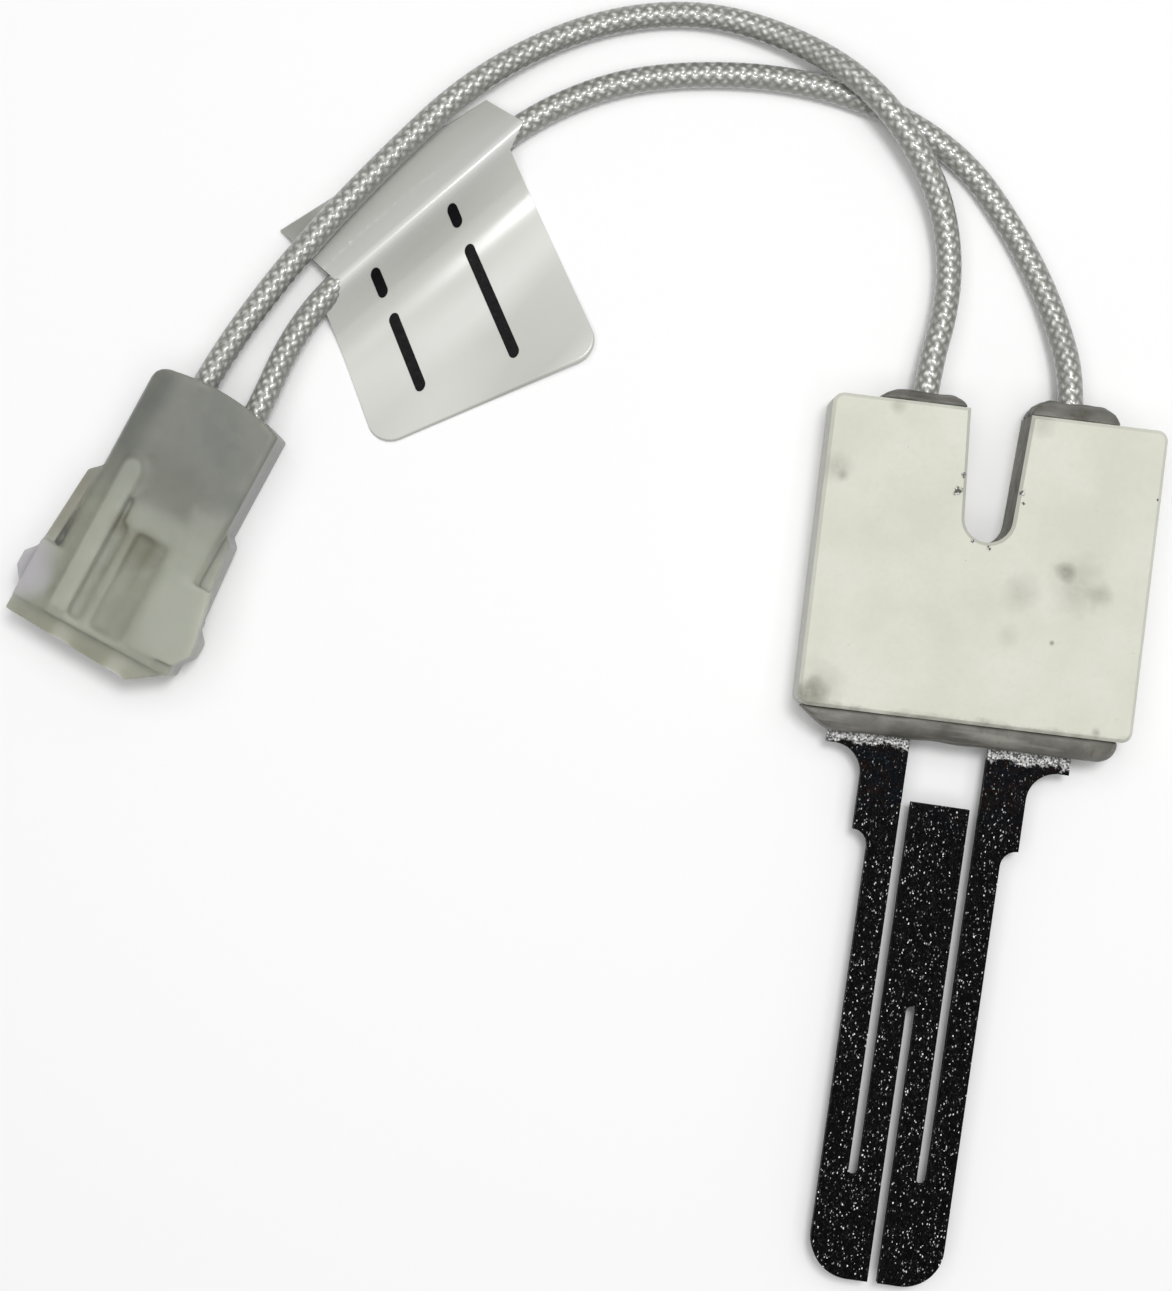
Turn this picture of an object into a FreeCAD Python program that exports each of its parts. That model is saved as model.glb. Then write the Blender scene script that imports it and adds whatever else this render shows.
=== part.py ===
"""Hot surface igniter: slotted silicon carbide element, ceramic holder, two leads and a plug.

Millimetres, +Z up. The igniter lies on the back of its ceramic holder, which is the plane z = 0.
The origin is the middle of that back face. +Y runs up the holder towards the leads, and the
heating element points along -Y.
"""
import FreeCAD, Part
import math
import os

Vector = FreeCAD.Vector

# Ceramic holder
BLOCK_WIDTH = 34.5
BLOCK_HEIGHT = 32.2
BLOCK_THICKNESS = 8.0
BLOCK_CORNER_RADIUS = 1.1
BLOCK_EDGE_CHAMFER = 0.35
NOTCH_DEPTH = 13.5
NOTCH_BOTTOM_RADIUS = 2.5
NOTCH_MOUTH_WIDTH = 6.3

# Channels in the holder: one wide slot for the element, one channel for each lead
SLOT_WIDTH = 28.6
SLOT_THICKNESS = 4.4
SLOT_DEPTH = 13.0
CHANNEL_WIDTH = 6.4
LEAD_FROM_SIDE = 9.5
LEAD_SET_IN = 8.1

# Cement that pots the element and the leads
BAND_PROUD = 2.2
BAND_THICKNESS = 6.0
BAND_LEFT_REACH = 16.8
BAND_LEFT_RUN_IN = 3.3
BAND_RIGHT_REACH = 16.2
BAND_RIGHT_ARC = 1.9
BAND_ROUNDING = 1.6
MOUND_HEIGHT_LEFT = 1.2
MOUND_HEIGHT_RIGHT = 1.9
MOUND_WIDTH = 9.4
MOUND_THICKNESS = 6.2
MOUND_TOP_SHARE = 0.62
MOUND_SHOULDER_SHARE = 0.88
MOUND_SHOULDER_AT = 0.6

# Heating element
ELEMENT_THICKNESS = 1.4
ELEMENT_MIDDLE_Z = 3.3
ELEMENT_OFFSET_X = -0.72
ELEMENT_LEAN_DEG = 1.25
ELEMENT_REACH = 58.7
TAB_SPAN = 25.4
TAB_GAP = 8.2
TAB_SET_IN = 8.2
TAB_SHOULDER_DROP = 1.6
SHOULDER_RADIUS = 3.1
HIP_SPAN = 17.3
HIP_DROP = 11.9
LEG_SPAN = 13.9
LEG_END_RADIUS = 4.2
SLIT_WIDTH = 1.05
TONGUE_DROP = 6.6
SIDE_SLIT_END_DROP = 48.0
CENTRE_SLIT_TOP_DROP = 29.8

# Contact clip on each foot of the element
CLIP_SHEET = 0.35
CLIP_WIDTH = 5.2
CLIP_GRIP = 4.6
CLIP_CLEARANCE = 0.03
CLIP_BACK_GAP = 0.35
CRIMP_WALL = 0.35
CRIMP_LENGTH = 3.6

# Leads
LEAD_DIAMETER = 2.7
CONDUCTOR_DIAMETER = 1.4
CONDUCTOR_END_GAP = 0.2
ARC_SHARE = 0.45

# Plug housing, measured along its length from the wire end, and across it from its middle
HOUSING_X = -79.65
HOUSING_Y = 8.05
HOUSING_AXIS_DEG = 248.45
HOUSING_WIDTH = 14.8
HOUSING_HEIGHT = 8.4
HOUSING_SHELL_LENGTH = 27.9
HOUSING_ROUND_SIDE_RADIUS = 3.3
HOUSING_SQUARE_SIDE_RADIUS = 0.6
HOUSING_REAR_CORNER_RADIUS = 2.2
HOUSING_REAR_BOW = 0.45
HOUSING_REAR_SKEW = 0.95
NOSE_LENGTH = 2.3
NOSE_STEP = 1.3
NOSE_ROOT = 1.0
NOSE_LEFT_SET_BACK = 0.7
NOSE_CORNER_ACROSS = 3.7
NOSE_CORNER_ALONG = 2.6

# Relief on top of the housing: a ridge on the left, a window with a bar and a rib, pads on the right
RELIEF_END_GAP = 0.9
RIDGE_RISE = 0.6
RIDGE_LEFT_X = -5.2
RIDGE_WIDTH = 2.1
RIDGE_START = 9.7
WINDOW_RIGHT_X = 3.1
WINDOW_START = 13.4
WINDOW_DEPTH = 0.9
SHELF_WIDTH = 1.6
SHELF_DEPTH = 0.4
BAR_LENGTH = 2.8
BAR_LEFT_X = -2.4
BAR_RISE = 0.3
CENTRE_RIB_X = -1.05
CENTRE_RIB_WIDTH = 1.1
PAD_START = 11.2
PAD_RISE = 0.35
EAR_PAD_START = 18.2
EAR_PAD_LEFT_X = 4.1
LIP_LENGTH = 0.5
LIP_RISE = 0.25

# Latch arms and the flange that they grow from; the flange and ears are set back from the shell's front
FLANGE_LENGTH = 6.5
FLANGE_WIDTH = 18.0
ARM_START = 11.9
ARM_THICKNESS = 1.15
ARM_HEIGHT = 5.6
ARM_SLANT = 0.7
ARM_END_SLANT = 1.1
EAR_SET_BACK = 5.7
EAR_PEAK_SET_BACK = 4.5
EAR_PEAK_LENGTH = 1.6
EAR_END_SET_BACK = 1.3
EAR_RISE = 1.1

# Cavities of the plug and the pin terminals in them
PIN_PITCH = 6.35
CAVITY_OFFSET = 0.6
CAVITY_REAR_DIAMETER = 4.2
CAVITY_SHOULDER = 13.6
CAVITY_NECK_LENGTH = 1.8
CAVITY_NECK_DIAMETER = 3.3
CAVITY_WELL_DIAMETER = 5.0
LEAD_IN_PLUG = 7.0
PIN_DIAMETER = 2.13
PIN_RECESS = 3.0
PIN_POINT_LENGTH = 0.9
PIN_POINT_SHARE = 0.45
TERMINAL_SHEET = 0.3
TERMINAL_GRIP = 2.2
TERMINAL_CLEARANCE = 0.05
CRIMP_SET_BACK = 3.0
COLLAR_LENGTH = 0.9
LANCE_LENGTH = 1.4
LANCE_WIDTH = 0.9
LANCE_ROOT = 0.2
LANCE_CLEARANCE = 0.1

# Label folded round the right lead
FILM_THICKNESS = 0.15
LABEL_LENGTH = 25.2
LABEL_START_ALONG = 0.4
SPINE_REACH = 5.6
SPINE_RADIUS = 0.3
LIFT_REACH = 3.4
LIFT_RADIUS = 0.08
LABEL_CORNER_RADIUS = 2.6
LABEL_WIRE_CLEARANCE = 0.3
FLAG_CORNERS = [(-53.2, 36.9), (-41.2, 18.0), (-62.9, 5.1), (-70.6, 18.0)]

# Values that follow from those above
LEAD_RADIUS = LEAD_DIAMETER / 2
MID_Z = BLOCK_THICKNESS / 2
LEAD_X = BLOCK_WIDTH / 2 - LEAD_FROM_SIDE
BLOCK_TOP = BLOCK_HEIGHT / 2
BLOCK_BOTTOM = -BLOCK_HEIGHT / 2
LEAD_END_Y = BLOCK_TOP - LEAD_SET_IN
SLOT_TOP_Y = BLOCK_BOTTOM + SLOT_DEPTH
TAB_END_Y = BLOCK_BOTTOM + TAB_SET_IN
RELIEF_END = HOUSING_SHELL_LENGTH - RELIEF_END_GAP
RELIEF_FLOOR = HOUSING_HEIGHT - WINDOW_DEPTH
EAR_START = HOUSING_SHELL_LENGTH - EAR_SET_BACK
EAR_PEAK_START = HOUSING_SHELL_LENGTH - EAR_PEAK_SET_BACK
EAR_PEAK_END = EAR_PEAK_START + EAR_PEAK_LENGTH
EAR_END = HOUSING_SHELL_LENGTH - EAR_END_SET_BACK
PIN_TIP = HOUSING_SHELL_LENGTH + NOSE_LENGTH - PIN_RECESS
CRIMP_END = CAVITY_SHOULDER - CRIMP_SET_BACK
CAVITY_Z = HOUSING_HEIGHT / 2
CAVITY_XS = {"left": CAVITY_OFFSET - PIN_PITCH / 2, "right": CAVITY_OFFSET + PIN_PITCH / 2}
SIDES = {"left": -1, "right": 1}

# Share of a quarter arc's radius by which its middle stands off each tangent line
ARC_MIDDLE = 1 - math.cos(math.radians(45))

# How far a cutting shape runs past what it cuts
OVERRUN = 1.0

# Coordinates that differ by less than this are the same
SAME = 1e-6

HOUSING_PLACEMENT = FreeCAD.Placement(
    Vector(HOUSING_X, HOUSING_Y, 0),
    FreeCAD.Rotation(Vector(0, 0, 1), HOUSING_AXIS_DEG - 90),
)


def plug_point(across, along, height):
    """A point of the plug's own frame (across, along from the wire end, up) in the igniter's frame."""
    return HOUSING_PLACEMENT.multVec(Vector(-across, along, height))


def plug_entry(side, along):
    """A point on a cavity's centre line."""
    return plug_point(CAVITY_XS[side], along, CAVITY_Z)


# Routes of the leads: points chosen along the centre line, from the holder to the plug
ROUTE_LEFT = [
    Vector(-LEAD_X, LEAD_END_Y, MID_Z),
    Vector(-LEAD_X, 18.5, MID_Z),
    Vector(-6.1, 28.0, 2.9),
    Vector(-7.6, 36.2, 3.3),
    Vector(-11.4, 43.3, 4.6),
    Vector(-17.3, 49.3, 4.6),
    Vector(-25.2, 53.2, 2.4),
    Vector(-34.5, 54.7, 1.4),
    Vector(-43.5, 53.1, 1.4),
    Vector(-51.8, 49.2, 1.9),
    Vector(-59.2, 43.2, 3.5),
    Vector(-65.1, 35.9, 3.8),
    Vector(-70.8, 28.3, 3.8),
    Vector(-76.1, 20.4, 4.0),
    plug_entry("left", -2.0),
    plug_entry("left", LEAD_IN_PLUG),
]
ROUTE_RIGHT = [
    Vector(LEAD_X, LEAD_END_Y, MID_Z),
    Vector(LEAD_X, 18.6, MID_Z),
    Vector(4.6, 27.9, 2.0),
    Vector(0.2, 36.3, 1.4),
    Vector(-6.6, 43.0, 1.4),
    Vector(-15.3, 47.6, 1.4),
    Vector(-25.3, 49.2, 1.4),
    Vector(-35.6, 48.5, 1.4),
    Vector(-44.6, 45.8, 1.5),
    Vector(-53.0, 40.2, 1.62),
    Vector(-61.6, 31.0, 1.62),
    Vector(-70.2, 21.2, 1.8),
    Vector(-73.7, 15.0, 3.0),
    plug_entry("right", -0.5),
    plug_entry("right", LEAD_IN_PLUG),
]


def line(a, b):
    return Part.LineSegment(a, b).toShape()


def arc(a, middle, b):
    return Part.Arc(a, middle, b).toShape()


def box(x0, x1, y0, y1, z0, z1):
    """A box given by its limits on each axis."""
    return Part.makeBox(x1 - x0, y1 - y0, z1 - z0, Vector(x0, y0, z0))


def plate(edges, z0, z1):
    """A flat outline in the plane z0, pushed up to z1."""
    return Part.Face(Part.Wire(Part.__sortEdges__(edges))).extrude(Vector(0, 0, z1 - z0))


def rounded_outline(corners, z):
    """Edges of a closed outline; each corner is (x, y, radius), and radius 0 leaves it sharp."""
    count = len(corners)
    starts = []
    ends = []
    edges = []
    for index in range(count):
        x, y, radius = corners[index]
        here = Vector(x, y, z)
        before = Vector(corners[index - 1][0], corners[index - 1][1], z)
        after = Vector(corners[(index + 1) % count][0], corners[(index + 1) % count][1], z)
        into = (here - before).normalize()
        out = (after - here).normalize()
        if radius == 0:
            starts.append(here)
            ends.append(here)
            continue
        turn = into.getAngle(out)
        reach = radius * math.tan(turn / 2)
        start = here - into * reach
        end = here + out * reach
        bisector = (out - into).normalize()
        middle = here + bisector * (radius / math.cos(turn / 2) - radius)
        edges.append(arc(start, middle, end))
        starts.append(start)
        ends.append(end)
    for index in range(count):
        edges.append(line(ends[index], starts[(index + 1) % count]))
    return edges


def belt(circles):
    """Face in the XZ plane inside a belt round circles (x, z, radius), listed anticlockwise."""
    count = len(circles)
    leave = []
    arrive = [None] * count
    for index in range(count):
        x0, z0, r0 = circles[index]
        x1, z1, r1 = circles[(index + 1) % count]
        distance = math.hypot(x1 - x0, z1 - z0)
        heading = math.atan2(z1 - z0, x1 - x0)
        normal = heading - math.pi / 2 + math.asin((r1 - r0) / distance) * -1
        leave.append(normal)
        arrive[(index + 1) % count] = normal
    edges = []
    points = []
    for index in range(count):
        x, z, radius = circles[index]
        first = arrive[index]
        last = leave[index]
        while last < first:
            last += 2 * math.pi
        spots = []
        for angle in (first, (first + last) / 2, last):
            spots.append(Vector(x + radius * math.cos(angle), 0, z + radius * math.sin(angle)))
        edges.append(arc(*spots))
        points.append((spots[0], spots[2]))
    for index in range(count):
        edges.append(line(points[index][1], points[(index + 1) % count][0]))
    return Part.Face(Part.Wire(Part.__sortEdges__(edges)))


def turned(profile, start, direction):
    """Solid of revolution: profile is (radius, along) points, placed at start along direction."""
    points = [Vector(radius, 0, along) for radius, along in profile]
    points.append(points[0])
    shape = Part.Face(Part.makePolygon(points)).revolve(Vector(0, 0, 0), Vector(0, 0, 1), 360)
    shape.Placement = FreeCAD.Placement(start, FreeCAD.Rotation(Vector(0, 0, 1), direction))
    return shape


def lead_tube(name, route):
    """Round tube along straight runs joined by tangent arcs; prints the arcs' radii."""
    edges = []
    radii = []
    position = route[0]
    for index in range(1, len(route) - 1):
        into = route[index] - route[index - 1]
        out = route[index + 1] - route[index]
        turn = into.getAngle(out)
        reach = ARC_SHARE * min(into.Length, out.Length)
        radii.append(reach / math.tan(turn / 2))
        into.normalize()
        out.normalize()
        start = route[index] - into * reach
        end = route[index] + out * reach
        depth = radii[-1] / math.cos(turn / 2) - radii[-1]
        middle = route[index] + (out - into).normalize() * depth
        edges.append(line(position, start))
        edges.append(arc(start, middle, end))
        position = end
    edges.append(line(position, route[-1]))
    path = Part.Wire(edges)
    section = Part.Wire(Part.makeCircle(LEAD_RADIUS, route[0], route[1] - route[0]))
    tube = path.makePipeShell([section], True, False, 1)
    expected = math.pi * LEAD_RADIUS ** 2 * path.Length
    print(name, "radii", [round(radius, 1) for radius in radii])
    print(name, "length", round(path.Length, 2), "volume share", round(tube.Volume / expected, 4))
    return tube


def ceramic_block():
    """Holder with a notch between two prongs, a slot for the element and a channel per lead."""
    half = BLOCK_WIDTH / 2
    mouth = NOTCH_MOUTH_WIDTH / 2
    centre_y = BLOCK_TOP - NOTCH_DEPTH + NOTCH_BOTTOM_RADIUS
    rise = BLOCK_TOP - centre_y
    distance = math.hypot(mouth, rise)
    touch = math.atan2(rise, mouth) - math.acos(NOTCH_BOTTOM_RADIUS / distance)
    touch_x = NOTCH_BOTTOM_RADIUS * math.cos(touch)
    touch_y = centre_y + NOTCH_BOTTOM_RADIUS * math.sin(touch)
    notch = [
        line(Vector(mouth, BLOCK_TOP, 0), Vector(touch_x, touch_y, 0)),
        arc(Vector(touch_x, touch_y, 0), Vector(0, centre_y - NOTCH_BOTTOM_RADIUS, 0),
            Vector(-touch_x, touch_y, 0)),
        line(Vector(-touch_x, touch_y, 0), Vector(-mouth, BLOCK_TOP, 0)),
        line(Vector(-mouth, BLOCK_TOP, 0), Vector(mouth, BLOCK_TOP, 0)),
    ]
    radius = BLOCK_CORNER_RADIUS
    outline = rounded_outline([
        (-half, BLOCK_BOTTOM, radius),
        (half, BLOCK_BOTTOM, radius),
        (half, BLOCK_TOP, radius),
        (-half, BLOCK_TOP, radius),
    ], 0)
    block = plate(outline, 0, BLOCK_THICKNESS).cut(plate(notch, 0, BLOCK_THICKNESS))
    rims = [edge for edge in block.Edges if is_rim(edge)]
    block = block.makeChamfer(BLOCK_EDGE_CHAMFER, rims)
    return block.cut(channels())


def is_rim(edge):
    """True for the edges round the holder's front and back faces."""
    limits = edge.BoundBox
    return limits.ZLength < SAME and (limits.ZMin < SAME or limits.ZMin > BLOCK_THICKNESS - SAME)


def slot_space():
    """The slot at the bottom of the holder that takes the element's feet."""
    half = SLOT_THICKNESS / 2
    return box(-SLOT_WIDTH / 2, SLOT_WIDTH / 2, BLOCK_BOTTOM, SLOT_TOP_Y, MID_Z - half, MID_Z + half)


def channel_space(side):
    """The channel that takes one lead, from the top of its prong down to the slot."""
    half = SLOT_THICKNESS / 2
    middle = SIDES[side] * LEAD_X
    return box(middle - CHANNEL_WIDTH / 2, middle + CHANNEL_WIDTH / 2, SLOT_TOP_Y, BLOCK_TOP,
               MID_Z - half, MID_Z + half)


def channels():
    return slot_space().fuse([channel_space(side) for side in SIDES])


def heating_element():
    """Flat element: two feet, then a strip cut by three slits so that the current runs up and down."""
    top = TAB_END_Y
    root = BLOCK_BOTTOM - BAND_PROUD
    shoulder = root - TAB_SHOULDER_DROP
    half_tab = TAB_SPAN / 2
    half_hip = HIP_SPAN / 2
    half_leg = LEG_SPAN / 2
    hip_radius = half_hip - half_leg
    hip = root - HIP_DROP
    tip = BLOCK_BOTTOM - ELEMENT_REACH
    low = ELEMENT_MIDDLE_Z - ELEMENT_THICKNESS / 2
    high = ELEMENT_MIDDLE_Z + ELEMENT_THICKNESS / 2
    outline = []
    for sign in (-1, 1):
        corner = [
            Vector(0, top, low),
            Vector(sign * half_tab, top, low),
            Vector(sign * half_tab, shoulder, low),
            Vector(sign * (half_hip + SHOULDER_RADIUS), shoulder, low),
            Vector(sign * half_hip, shoulder - SHOULDER_RADIUS, low),
            Vector(sign * half_hip, hip + hip_radius, low),
            Vector(sign * half_leg, hip, low),
            Vector(sign * half_leg, tip + LEG_END_RADIUS, low),
            Vector(sign * (half_leg - LEG_END_RADIUS), tip, low),
            Vector(0, tip, low),
        ]
        inner = SHOULDER_RADIUS * ARC_MIDDLE
        foot = LEG_END_RADIUS * ARC_MIDDLE
        bend = hip_radius * (1 - ARC_MIDDLE)
        hip_middle = Vector(sign * (half_hip - bend), hip + bend, low)
        outline += [
            line(corner[0], corner[1]),
            line(corner[1], corner[2]),
            line(corner[2], corner[3]),
            arc(corner[3], Vector(sign * (half_hip + inner), shoulder - inner, low), corner[4]),
            line(corner[4], corner[5]),
            arc(corner[5], hip_middle, corner[6]),
            line(corner[6], corner[7]),
            arc(corner[7], Vector(sign * (half_leg - foot), tip + foot, low), corner[8]),
            line(corner[8], corner[9]),
        ]
    blank = plate(outline, low, high)
    gap = TAB_GAP / 2
    tongue_top = root - TONGUE_DROP
    cuts = [box(-gap, gap, tongue_top, top + OVERRUN, low - OVERRUN, high + OVERRUN)]
    for sign in (-1, 1):
        cuts.append(slit(sign * (gap - SLIT_WIDTH / 2), tongue_top + SLIT_WIDTH,
                         BLOCK_BOTTOM - SIDE_SLIT_END_DROP, low, high))
    cuts.append(slit(0, BLOCK_BOTTOM - CENTRE_SLIT_TOP_DROP, tip - SLIT_WIDTH, low, high))
    element = blank.cut(cuts)
    element.rotate(Vector(0, root, 0), Vector(0, 0, 1), -ELEMENT_LEAN_DEG)
    element.translate(Vector(ELEMENT_OFFSET_X, 0, 0))
    return element


def slit(x, y_start, y_end, low, high):
    """A slit with round ends between two heights along Y."""
    radius = SLIT_WIDTH / 2
    floor = low - OVERRUN
    depth = high + OVERRUN - floor
    body = box(x - radius, x + radius, y_end + radius, y_start - radius, floor, floor + depth)
    ends = []
    for y in (y_start - radius, y_end + radius):
        ends.append(Part.makeCylinder(radius, depth, Vector(x, y, floor)))
    return body.fuse(ends)


def contact_clip(side):
    """Sheet clip that grips a foot of the element, with a barrel crimped on the lead's conductor."""
    x = SIDES[side] * LEAD_X
    low = ELEMENT_MIDDLE_Z - ELEMENT_THICKNESS / 2 - CLIP_CLEARANCE
    high = ELEMENT_MIDDLE_Z + ELEMENT_THICKNESS / 2 + CLIP_CLEARANCE
    back = TAB_END_Y + CLIP_BACK_GAP
    body = box(x - CLIP_WIDTH / 2, x + CLIP_WIDTH / 2, back - CLIP_GRIP, back + CLIP_SHEET,
               low - CLIP_SHEET, high + CLIP_SHEET)
    mouth = box(x - CLIP_WIDTH, x + CLIP_WIDTH, back - CLIP_GRIP - OVERRUN, back, low, high)
    outer = CONDUCTOR_DIAMETER / 2 + CRIMP_WALL
    start = Vector(x, back, MID_Z)
    barrel = Part.makeCylinder(outer, CRIMP_LENGTH + CLIP_SHEET, start, Vector(0, 1, 0))
    bore = Part.makeCylinder(CONDUCTOR_DIAMETER / 2 + CLIP_CLEARANCE, CRIMP_LENGTH + OVERRUN,
                             Vector(x, back + CLIP_SHEET, MID_Z), Vector(0, 1, 0))
    return body.cut(mouth).fuse(barrel).cut(bore)


def block_conductor(side):
    """Bare end of a lead, from its insulation down to the contact clip."""
    x = SIDES[side] * LEAD_X
    end = TAB_END_Y + CLIP_BACK_GAP + CLIP_SHEET + CONDUCTOR_END_GAP
    start = Vector(x, end, MID_Z)
    return Part.makeCylinder(CONDUCTOR_DIAMETER / 2, LEAD_END_Y - end, start, Vector(0, 1, 0))


def element_cement(embedded):
    """Cement in the slot, with the band that stands out below the holder round the feet."""
    low = MID_Z - BAND_THICKNESS / 2
    high = MID_Z + BAND_THICKNESS / 2
    bottom = BLOCK_BOTTOM - BAND_PROUD
    right = BAND_RIGHT_REACH
    lean = BAND_RIGHT_ARC * ARC_MIDDLE
    outline = [
        line(Vector(-BAND_LEFT_REACH, BLOCK_BOTTOM, low), Vector(right, BLOCK_BOTTOM, low)),
        line(Vector(right, BLOCK_BOTTOM, low), Vector(right, bottom + BAND_RIGHT_ARC, low)),
        arc(Vector(right, bottom + BAND_RIGHT_ARC, low), Vector(right - lean, bottom + lean, low),
            Vector(right - BAND_RIGHT_ARC, bottom, low)),
        line(Vector(right - BAND_RIGHT_ARC, bottom, low),
             Vector(-BAND_LEFT_REACH + BAND_LEFT_RUN_IN, bottom, low)),
        line(Vector(-BAND_LEFT_REACH + BAND_LEFT_RUN_IN, bottom, low),
             Vector(-BAND_LEFT_REACH, BLOCK_BOTTOM, low)),
    ]
    band = plate(outline, low, high)
    long_edges = []
    for edge in band.Edges:
        limits = edge.BoundBox
        at_bottom = limits.YLength < SAME and abs(limits.YMin - bottom) < SAME
        if at_bottom and limits.XLength > BLOCK_WIDTH / 2:
            long_edges.append(edge)
    band = band.makeFillet(BAND_ROUNDING, long_edges)
    return band.fuse(slot_space()).cut(embedded).removeSplitter()


def lead_cement(side, embedded):
    """Cement in a lead's channel, heaped a little round the lead where it leaves the prong."""
    x = SIDES[side] * LEAD_X
    rise = MOUND_HEIGHT_LEFT if side == "left" else MOUND_HEIGHT_RIGHT
    sections = []
    levels = [
        (BLOCK_TOP, 1),
        (BLOCK_TOP + rise * MOUND_SHOULDER_AT, MOUND_SHOULDER_SHARE),
        (BLOCK_TOP + rise, MOUND_TOP_SHARE),
    ]
    for y, share in levels:
        half_x = MOUND_WIDTH / 2 * share
        half_z = MOUND_THICKNESS / 2 * share
        corners = [(-half_x, -half_z), (half_x, -half_z), (half_x, half_z), (-half_x, half_z)]
        points = [Vector(x + dx, y, MID_Z + dz) for dx, dz in corners]
        sections.append(Part.makePolygon(points + [points[0]]))
    mound = Part.makeLoft(sections, True, True)
    return mound.fuse(channel_space(side)).cut(embedded).removeSplitter()


def plug_solid(shape):
    """Moves a shape from the plug's own frame to its place beside the igniter."""
    shape.Placement = HOUSING_PLACEMENT.multiply(shape.Placement)
    return shape


def mirrored_box(across0, across1, along0, along1, z0, z1):
    """Box in the plug's own frame, where across grows to the right seen from the wire end up."""
    return box(-across1, -across0, along0, along1, z0, z1)


def connector_housing():
    """Moulded two-way plug: D-shaped shell, latch arms with ears, relief on top and two cavities."""
    half = HOUSING_WIDTH / 2
    height = HOUSING_HEIGHT
    front = HOUSING_SHELL_LENGTH
    corner = HOUSING_REAR_CORNER_RADIUS
    lean = corner * ARC_MIDDLE
    rear_left = Vector(half - corner, 0, 0)
    rear_right = Vector(-half, HOUSING_REAR_SKEW, 0)
    plan = plate([
        arc(rear_left, Vector(0, -HOUSING_REAR_BOW, 0), rear_right),
        line(rear_right, Vector(-half, front, 0)),
        line(Vector(-half, front, 0), Vector(half, front, 0)),
        line(Vector(half, front, 0), Vector(half, corner, 0)),
        arc(Vector(half, corner, 0), Vector(half - lean, lean, 0), rear_left),
    ], 0, height)
    soft = HOUSING_ROUND_SIDE_RADIUS
    crisp = HOUSING_SQUARE_SIDE_RADIUS
    section = rounded_outline([(half, 0, soft), (half, height, soft), (-half, height, crisp),
                               (-half, 0, crisp)], 0)
    shell = plate(section, 0, front + 2 * OVERRUN)
    shell.rotate(Vector(0, 0, 0), Vector(1, 0, 0), 90)
    shell.translate(Vector(0, front, 0))
    body = plan.common(shell).cut(window()).fuse(relief())
    body = body.fuse([flange()] + [latch_arm(side) for side in SIDES])
    for side in SIDES:
        body = body.cut(cavity(side))
    return plug_solid(body.removeSplitter())


def window():
    """Shallow recess in the top of the shell, less the bar, the rib and the shelf that stand in it."""
    top = HOUSING_HEIGHT + OVERRUN
    left = RIDGE_LEFT_X + RIDGE_WIDTH
    right = WINDOW_RIGHT_X
    bar_end = WINDOW_START + BAR_LENGTH
    rib_left = CENTRE_RIB_X - CENTRE_RIB_WIDTH / 2
    recess = mirrored_box(left, right, WINDOW_START, RELIEF_END, RELIEF_FLOOR, top)
    bar = mirrored_box(BAR_LEFT_X, right, WINDOW_START, bar_end, RELIEF_FLOOR, top)
    rib = mirrored_box(rib_left, rib_left + CENTRE_RIB_WIDTH, WINDOW_START, RELIEF_END, RELIEF_FLOOR, top)
    shelf = mirrored_box(right - SHELF_WIDTH, right, bar_end, RELIEF_END, RELIEF_FLOOR,
                         HOUSING_HEIGHT - SHELF_DEPTH)
    return recess.cut([bar, rib, shelf])


def relief():
    """What stands above the shell: ridge with a round end, bar, front lip, pad, and the right ear's pad."""
    top = HOUSING_HEIGHT
    radius = RIDGE_WIDTH / 2
    ridge = mirrored_box(RIDGE_LEFT_X, RIDGE_LEFT_X + RIDGE_WIDTH, RIDGE_START + radius, RELIEF_END,
                         RELIEF_FLOOR, top + RIDGE_RISE)
    tip = Part.makeCylinder(radius, top + RIDGE_RISE - RELIEF_FLOOR,
                            Vector(-RIDGE_LEFT_X - radius, RIDGE_START + radius, RELIEF_FLOOR))
    bar = mirrored_box(BAR_LEFT_X, WINDOW_RIGHT_X, WINDOW_START, WINDOW_START + BAR_LENGTH, RELIEF_FLOOR,
                       top + BAR_RISE)
    edge = HOUSING_WIDTH / 2 - HOUSING_SQUARE_SIDE_RADIUS
    pad = mirrored_box(WINDOW_RIGHT_X, edge, PAD_START, RELIEF_END, RELIEF_FLOOR, top + PAD_RISE)
    lip = mirrored_box(RIDGE_LEFT_X, edge, HOUSING_SHELL_LENGTH - LIP_LENGTH, HOUSING_SHELL_LENGTH,
                       RELIEF_FLOOR, top + LIP_RISE)
    outer = FLANGE_WIDTH / 2
    ear_pad = plate(rounded_outline([
        (-EAR_PAD_LEFT_X, EAR_PAD_START, 0),
        (-outer, EAR_PAD_START, 0),
        (-outer - EAR_RISE, EAR_PEAK_START, 0),
        (-outer - EAR_RISE, EAR_PEAK_END, 0),
        (-outer, EAR_END, 0),
        (-EAR_PAD_LEFT_X, RELIEF_END, 0),
    ], 0), 0, top + RIDGE_RISE - RELIEF_FLOOR)
    ear_pad.translate(Vector(0, 0, RELIEF_FLOOR))
    return ridge.fuse([tip, bar, pad, lip, ear_pad])


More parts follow.
